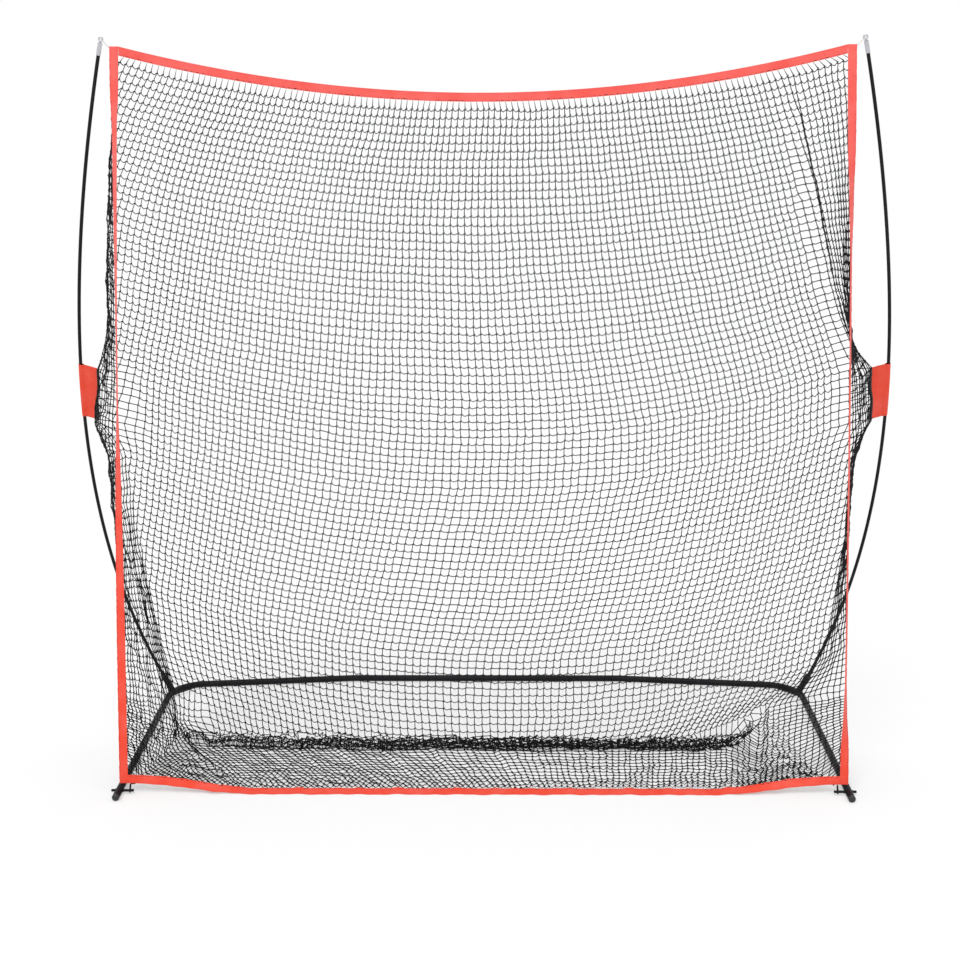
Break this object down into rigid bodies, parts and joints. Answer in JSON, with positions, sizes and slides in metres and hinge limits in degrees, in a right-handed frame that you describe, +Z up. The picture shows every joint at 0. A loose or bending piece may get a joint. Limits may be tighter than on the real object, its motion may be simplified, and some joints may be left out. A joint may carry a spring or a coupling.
{
  "type": "pitching practice net",
  "caption": "Free-standing practice net: a steel tube base and two bowed poles hold a red-bound black mesh pocket open at the front.",
  "frame": {"origin": "on the floor, under the middle of the whole object's bounding box", "axes": "+X across the net's width, to the right as a thrower facing it sees it; +Y to the rear, away from the thrower; +Z up"},
  "size_m": [2.5088, 0.9826, 2.1847],
  "materials": {
    "black_paint": "satin black powder coat on steel tube",
    "black_plastic": "moulded",
    "black_glass_fibre": "smooth pultruded glass fibre",
    "spring_steel": "zinc plated",
    "bright_ferrule": "bright",
    "red_webbing": "woven polypropylene webbing",
    "red_cloth": "coated cloth",
    "black_netting": "knotted twine",
    "white_elastic": "braided elastic cord"
  },
  "bodies": {
    "net_and_frame": {"bottom_corner_loop_left": "black_netting", "bottom_corner_loop_right": "black_netting", "corner_brace_left": "black_paint", "corner_brace_right": "black_paint", "corner_tube_left": "black_paint", "corner_tube_right": "black_paint", "crossbar_middle_tube": "black_paint", "foot_plug_left": "black_plastic", "foot_plug_right": "black_plastic", "leg_tube_left": "black_paint", "leg_tube_right": "black_paint", "net_back_panel": "black_netting", "net_binding_bottom": "red_webbing", "net_binding_left": "red_webbing", "net_binding_right": "red_webbing", "net_binding_top": "red_webbing", "net_floor_panel": "black_netting", "net_hook_bar_left": "black_paint", "net_hook_bar_right": "black_paint", "net_side_panel_left": "black_netting", "net_side_panel_right": "black_netting", "pole_lower_left": "black_glass_fibre", "pole_lower_right": "black_glass_fibre", "pole_middle_left": "black_glass_fibre", "pole_middle_right": "black_glass_fibre", "pole_socket_left": "black_paint", "pole_socket_right": "black_paint", "pole_spigot_lower_left": "spring_steel", "pole_spigot_lower_right": "spring_steel", "pole_spigot_upper_left": "spring_steel", "pole_spigot_upper_right": "spring_steel", "pole_tip_eye_left": "bright_ferrule", "pole_tip_eye_right": "bright_ferrule", "pole_tip_ferrule_left": "bright_ferrule", "pole_tip_ferrule_right": "bright_ferrule", "pole_upper_left": "black_glass_fibre", "pole_upper_right": "black_glass_fibre", "side_tab_left": "red_cloth", "side_tab_right": "red_cloth", "snap_spring_crossbar_left": "spring_steel", "snap_spring_crossbar_right": "spring_steel", "snap_spring_leg_left": "spring_steel", "snap_spring_leg_right": "spring_steel", "socket_bush_left": "black_plastic", "socket_bush_right": "black_plastic", "top_corner_loop_left": "white_elastic", "top_corner_loop_right": "white_elastic"},
    "snap_button_crossbar_left": {"snap_button_crossbar_left": "spring_steel"},
    "snap_button_crossbar_right": {"snap_button_crossbar_right": "spring_steel"},
    "snap_button_leg_left": {"snap_button_leg_left": "spring_steel"},
    "snap_button_leg_right": {"snap_button_leg_right": "spring_steel"}
  },
  "joints": [
    {"name": "press_snap_button_crossbar_left", "type": "slide", "parent": "net_and_frame", "child": "snap_button_crossbar_left", "axis": [0, 0, -1], "range_m": [0, 0.0042], "stiffness_N_per_m": 2000, "springref_m": -0.002, "deforming": ["snap_spring_crossbar_left"]},
    {"name": "press_snap_button_crossbar_right", "type": "slide", "parent": "net_and_frame", "child": "snap_button_crossbar_right", "axis": [0, 0, -1], "range_m": [0, 0.0042], "stiffness_N_per_m": 2000, "springref_m": -0.002, "deforming": ["snap_spring_crossbar_right"]},
    {"name": "press_snap_button_leg_left", "type": "slide", "parent": "net_and_frame", "child": "snap_button_leg_left", "axis": [0, 0, -1], "range_m": [0, 0.0042], "stiffness_N_per_m": 2000, "springref_m": -0.002, "deforming": ["snap_spring_leg_left"]},
    {"name": "press_snap_button_leg_right", "type": "slide", "parent": "net_and_frame", "child": "snap_button_leg_right", "axis": [0, 0, -1], "range_m": [0, 0.0042], "stiffness_N_per_m": 2000, "springref_m": -0.002, "deforming": ["snap_spring_leg_right"]}
  ]
}
